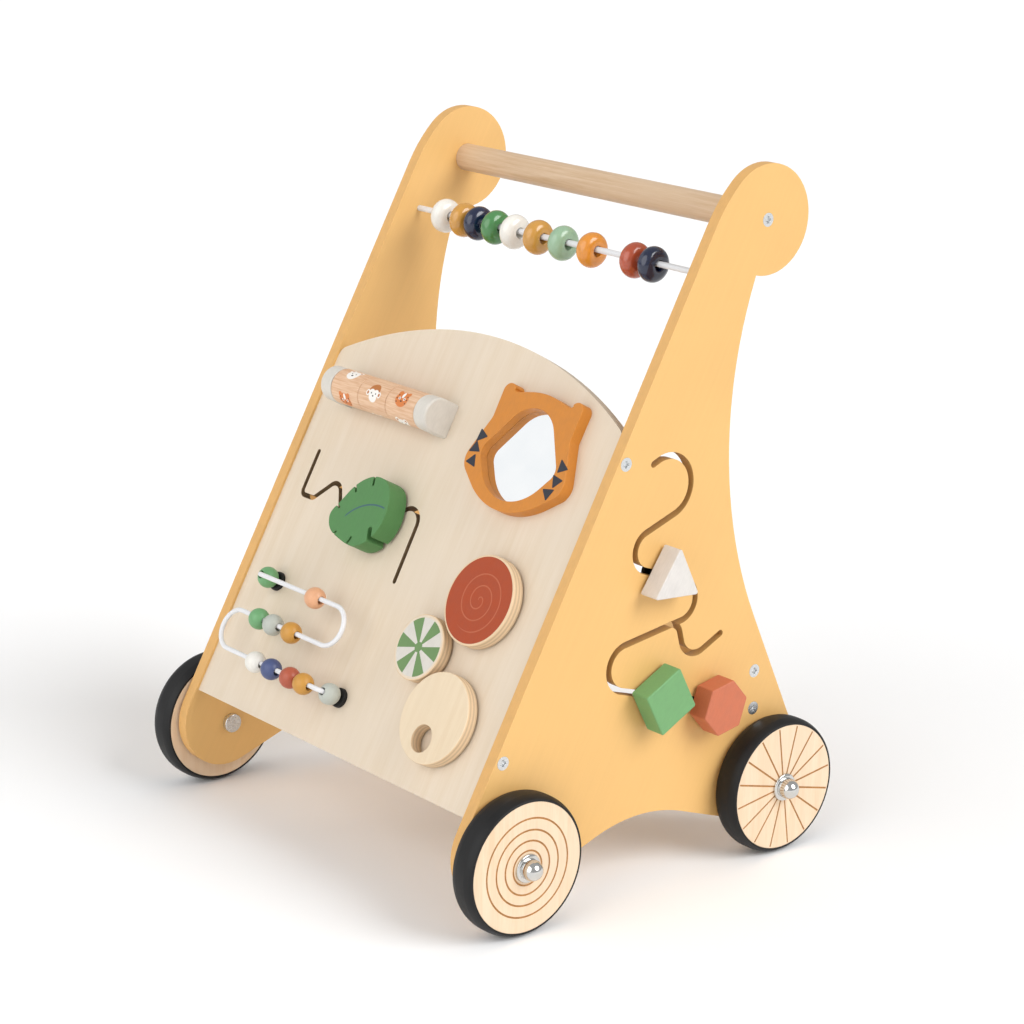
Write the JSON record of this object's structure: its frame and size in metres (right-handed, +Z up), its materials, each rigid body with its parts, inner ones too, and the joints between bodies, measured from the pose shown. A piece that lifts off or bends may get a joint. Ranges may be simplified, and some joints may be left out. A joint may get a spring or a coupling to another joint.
{
  "type": "baby walker",
  "caption": "wooden push-along baby walker with sloped activity board, bead rail, mirror, turning discs, slotted side track with sliding shapes and rubber-tyred wheels",
  "frame": {"origin": "on the floor, midway between the two side panels and midway between the front and rear axles", "axes": "+Z up, +X from the left to the right side panel, -Y towards the front with the activity board, +Y towards the child who pushes it"},
  "size_m": [0.3988, 0.3308, 0.4857],
  "materials": {
    "birch_plywood": "clear-lacquered birch plywood",
    "birch_turned": "turned birch, satin lacquer",
    "black_plastic": "black moulded plastic",
    "black_rubber": "black rubber",
    "board_plywood": "pale sanded plywood",
    "chrome": "polished chrome",
    "mirror": "silvered acrylic",
    "paint_green": "sea-green satin paint on wood",
    "paint_grey": "grey satin paint on wood",
    "paint_leaf_green": "sea-green satin paint on wood",
    "paint_mirror_orange": "orange satin paint on wood",
    "paint_navy": "navy satin paint on wood",
    "paint_ochre": "ochre satin paint on wood",
    "paint_orange": "orange satin paint on wood",
    "paint_peach": "peach satin paint on wood",
    "paint_rust": "rust satin paint on wood",
    "paint_sage": "sage satin paint on wood",
    "paint_white": "off-white satin paint on wood",
    "rubber_tyre": "black rubber, slightly glossy",
    "wheel_wood": "turned wood, satin lacquer, engraved lines",
    "white_wire": "white powder-coated steel",
    "zinc_steel": "bright zinc-plated steel"
  },
  "bodies": {
    "chassis": {"left_side_panel": "birch_plywood", "right_side_panel": "birch_plywood", "activity_board": "board_plywood", "rear_brace": "birch_plywood", "handle_bar": "birch_turned", "handle_screws": "zinc_steel", "panel_screws": "zinc_steel", "bead_rail": "white_wire", "wheel_bolts": "zinc_steel", "wheel_washers": "zinc_steel", "wheel_cap_nuts": "chrome", "mirror_frame": "paint_mirror_orange", "mirror_plate": "mirror", "roller_end_blocks": "paint_white", "roller_axle": "zinc_steel", "disc_pivots": "zinc_steel", "wire_loop": "white_wire", "wire_bumpers": "black_rubber"},
    "front_left_wheel_body": {"front_left_wheel": "wheel_wood", "front_left_tyre": "rubber_tyre"},
    "front_right_wheel_body": {"front_right_wheel": "wheel_wood", "front_right_tyre": "rubber_tyre"},
    "rear_left_wheel_body": {"rear_left_wheel": "wheel_wood", "rear_left_tyre": "rubber_tyre"},
    "rear_right_wheel_body": {"rear_right_wheel": "wheel_wood", "rear_right_tyre": "rubber_tyre"},
    "rail_bead_1_body": {"rail_bead_1": "paint_white"},
    "rail_bead_2_body": {"rail_bead_2": "paint_ochre"},
    "rail_bead_3_body": {"rail_bead_3": "paint_navy"},
    "rail_bead_4_body": {"rail_bead_4": "paint_green"},
    "rail_bead_5_body": {"rail_bead_5": "paint_white"},
    "rail_bead_6_body": {"rail_bead_6": "paint_ochre"},
    "rail_bead_7_body": {"rail_bead_7": "paint_sage"},
    "rail_bead_8_body": {"rail_bead_8": "paint_orange"},
    "rail_bead_9_body": {"rail_bead_9": "paint_rust"},
    "rail_bead_10_body": {"rail_bead_10": "paint_navy"},
    "wire_bead_1_body": {"wire_bead_1": "paint_peach"},
    "wire_bead_2_body": {"wire_bead_2": "paint_green"},
    "wire_bead_3_body": {"wire_bead_3": "paint_grey"},
    "wire_bead_4_body": {"wire_bead_4": "paint_ochre"},
    "wire_bead_5_body": {"wire_bead_5": "paint_white"},
    "wire_bead_6_body": {"wire_bead_6": "paint_navy"},
    "wire_bead_7_body": {"wire_bead_7": "paint_rust"},
    "wire_bead_8_body": {"wire_bead_8": "paint_ochre"},
    "wire_bead_9_body": {"wire_bead_9": "paint_green"},
    "wire_bead_10_body": {"wire_bead_10": "paint_grey"},
    "roller_left_body": {"roller_drum_left": "paint_white"},
    "roller_middle_body": {"roller_drum_middle": "paint_white"},
    "roller_right_body": {"roller_drum_right": "paint_white"},
    "large_disc_body": {"large_disc": "paint_rust"},
    "small_disc_body": {"small_disc": "paint_green"},
    "finger_disc_body": {"finger_disc": "birch_turned"},
    "triangle_pin_body": {"triangle_pin": "black_plastic"},
    "triangle_knob_body": {"triangle_knob": "paint_white"},
    "square_pin_body": {"square_pin": "black_plastic"},
    "square_knob_body": {"square_knob": "paint_green"},
    "hexagon_pin_body": {"hexagon_pin": "black_plastic"},
    "hexagon_knob_body": {"hexagon_knob": "paint_rust"},
    "leaf_pin_body": {"leaf_pin": "black_plastic"},
    "leaf_knob_body": {"leaf_knob": "paint_leaf_green"}
  },
  "joints": [
    {"name": "front_left_wheel_turn", "type": "hinge", "parent": "chassis", "child": "front_left_wheel_body", "pos_m": [-0.17705, -0.1164, 0.049], "axis": [1, 0, 0], "continuous": true},
    {"name": "front_right_wheel_turn", "type": "hinge", "parent": "chassis", "child": "front_right_wheel_body", "pos_m": [0.17705, -0.1164, 0.049], "axis": [1, 0, 0], "continuous": true},
    {"name": "rear_left_wheel_turn", "type": "hinge", "parent": "chassis", "child": "rear_left_wheel_body", "pos_m": [-0.17705, 0.1164, 0.049], "axis": [1, 0, 0], "continuous": true},
    {"name": "rear_right_wheel_turn", "type": "hinge", "parent": "chassis", "child": "rear_right_wheel_body", "pos_m": [0.17705, 0.1164, 0.049], "axis": [1, 0, 0], "continuous": true},
    {"name": "rail_bead_1_slide", "type": "slide", "parent": "chassis", "child": "rail_bead_1_body", "axis": [1, 0, 0], "range_m": [-0.0247, 0.0043]},
    {"name": "rail_bead_2_slide", "type": "slide", "parent": "chassis", "child": "rail_bead_2_body", "axis": [1, 0, 0], "range_m": [-0.0043, 0.0015]},
    {"name": "rail_bead_3_slide", "type": "slide", "parent": "chassis", "child": "rail_bead_3_body", "axis": [1, 0, 0], "range_m": [-0.0015, 0.0033]},
    {"name": "rail_bead_4_slide", "type": "slide", "parent": "chassis", "child": "rail_bead_4_body", "axis": [1, 0, 0], "range_m": [-0.0033, 0.004]},
    {"name": "rail_bead_5_slide", "type": "slide", "parent": "chassis", "child": "rail_bead_5_body", "axis": [1, 0, 0], "range_m": [-0.004, 0.0063]},
    {"name": "rail_bead_6_slide", "type": "slide", "parent": "chassis", "child": "rail_bead_6_body", "axis": [1, 0, 0], "range_m": [-0.0063, 0.0069]},
    {"name": "rail_bead_7_slide", "type": "slide", "parent": "chassis", "child": "rail_bead_7_body", "axis": [1, 0, 0], "range_m": [-0.0069, 0.00875]},
    {"name": "rail_bead_8_slide", "type": "slide", "parent": "chassis", "child": "rail_bead_8_body", "axis": [1, 0, 0], "range_m": [-0.00875, 0.01575]},
    {"name": "rail_bead_9_slide", "type": "slide", "parent": "chassis", "child": "rail_bead_9_body", "axis": [1, 0, 0], "range_m": [-0.01575, 0.00235]},
    {"name": "rail_bead_10_slide", "type": "slide", "parent": "chassis", "child": "rail_bead_10_body", "axis": [1, 0, 0], "range_m": [-0.00235, 0.0477]},
    {"name": "wire_bead_1_slide", "type": "slide", "parent": "chassis", "child": "wire_bead_1_body", "axis": [1, 0, 0], "range_m": [-0.0574, 0.0192]},
    {"name": "wire_bead_2_slide", "type": "slide", "parent": "chassis", "child": "wire_bead_2_body", "axis": [1, 0, 0], "range_m": [-0.0135, 0.0007]},
    {"name": "wire_bead_3_slide", "type": "slide", "parent": "chassis", "child": "wire_bead_3_body", "axis": [1, 0, 0], "range_m": [-0.0007, 0.0032]},
    {"name": "wire_bead_4_slide", "type": "slide", "parent": "chassis", "child": "wire_bead_4_body", "axis": [1, 0, 0], "range_m": [-0.0032, 0.0288]},
    {"name": "wire_bead_5_slide", "type": "slide", "parent": "chassis", "child": "wire_bead_5_body", "axis": [1, 0, 0], "range_m": [-0.0287, 0.0017]},
    {"name": "wire_bead_6_slide", "type": "slide", "parent": "chassis", "child": "wire_bead_6_body", "axis": [1, 0, 0], "range_m": [-0.0017, 0.0035]},
    {"name": "wire_bead_7_slide", "type": "slide", "parent": "chassis", "child": "wire_bead_7_body", "axis": [1, 0, 0], "range_m": [-0.0035, 0.0001]},
    {"name": "wire_bead_8_slide", "type": "slide", "parent": "chassis", "child": "wire_bead_8_body", "axis": [1, 0, 0], "range_m": [-0.0001, 0.0062]},
    {"name": "wire_bead_9_turn", "type": "hinge", "parent": "chassis", "child": "wire_bead_9_body", "pos_m": [-0.118, -0.10737, 0.16875], "axis": [0, -0.8765, 0.4814], "continuous": true},
    {"name": "wire_bead_10_turn", "type": "hinge", "parent": "chassis", "child": "wire_bead_10_body", "pos_m": [-0.005, -0.1352, 0.11809], "axis": [0, -0.8765, 0.4814], "continuous": true},
    {"name": "roller_left_turn", "type": "hinge", "parent": "chassis", "child": "roller_left_body", "pos_m": [-0.10125, -0.03883, 0.3003], "axis": [1, 0, 0], "continuous": true},
    {"name": "roller_middle_turn", "type": "hinge", "parent": "chassis", "child": "roller_middle_body", "pos_m": [-0.06895, -0.03883, 0.3003], "axis": [1, 0, 0], "continuous": true},
    {"name": "roller_right_turn", "type": "hinge", "parent": "chassis", "child": "roller_right_body", "pos_m": [-0.03665, -0.03883, 0.3003], "axis": [1, 0, 0], "continuous": true},
    {"name": "large_disc_turn", "type": "hinge", "parent": "chassis", "child": "large_disc_body", "pos_m": [0.0994, -0.08432, 0.2015], "axis": [0, -0.8765, 0.4814], "continuous": true},
    {"name": "small_disc_turn", "type": "hinge", "parent": "chassis", "child": "small_disc_body", "pos_m": [0.0616, -0.10555, 0.16285], "axis": [0, -0.8765, 0.4814], "continuous": true},
    {"name": "finger_disc_turn", "type": "hinge", "parent": "chassis", "child": "finger_disc_body", "pos_m": [0.1025, -0.12443, 0.12849], "axis": [0, -0.8765, 0.4814], "continuous": true},
    {"name": "triangle_slide", "type": "slide", "parent": "chassis", "child": "triangle_pin_body", "axis": [0, 0.941, -0.3385], "range_m": [-0.014, 0.023]},
    {"name": "triangle_turn", "type": "hinge", "parent": "triangle_pin_body", "child": "triangle_knob_body", "pos_m": [0.175, 0.01439, 0.21832], "axis": [1, 0, 0], "continuous": true},
    {"name": "square_slide", "type": "slide", "parent": "chassis", "child": "square_pin_body", "axis": [0, 0.9557, -0.2945], "range_m": [-0.025, 0.004]},
    {"name": "square_turn", "type": "hinge", "parent": "square_pin_body", "child": "square_knob_body", "pos_m": [0.175, 0.01122, 0.13368], "axis": [1, 0, 0], "continuous": true},
    {"name": "hexagon_slide", "type": "slide", "parent": "chassis", "child": "hexagon_pin_body", "axis": [0, 0.9557, -0.2945], "range_m": [-0.004, 0]},
    {"name": "hexagon_turn", "type": "hinge", "parent": "hexagon_pin_body", "child": "hexagon_knob_body", "pos_m": [0.175, 0.0621, 0.118], "axis": [1, 0, 0], "continuous": true},
    {"name": "leaf_slide", "type": "slide", "parent": "chassis", "child": "leaf_pin_body", "axis": [0.8392, 0.2618, 0.4767], "range_m": [-0.018, 0.02]},
    {"name": "leaf_turn", "type": "hinge", "parent": "leaf_pin_body", "child": "leaf_knob_body", "pos_m": [-0.04381, -0.07698, 0.22422], "axis": [0, -0.8765, 0.4814], "continuous": true}
  ]
}
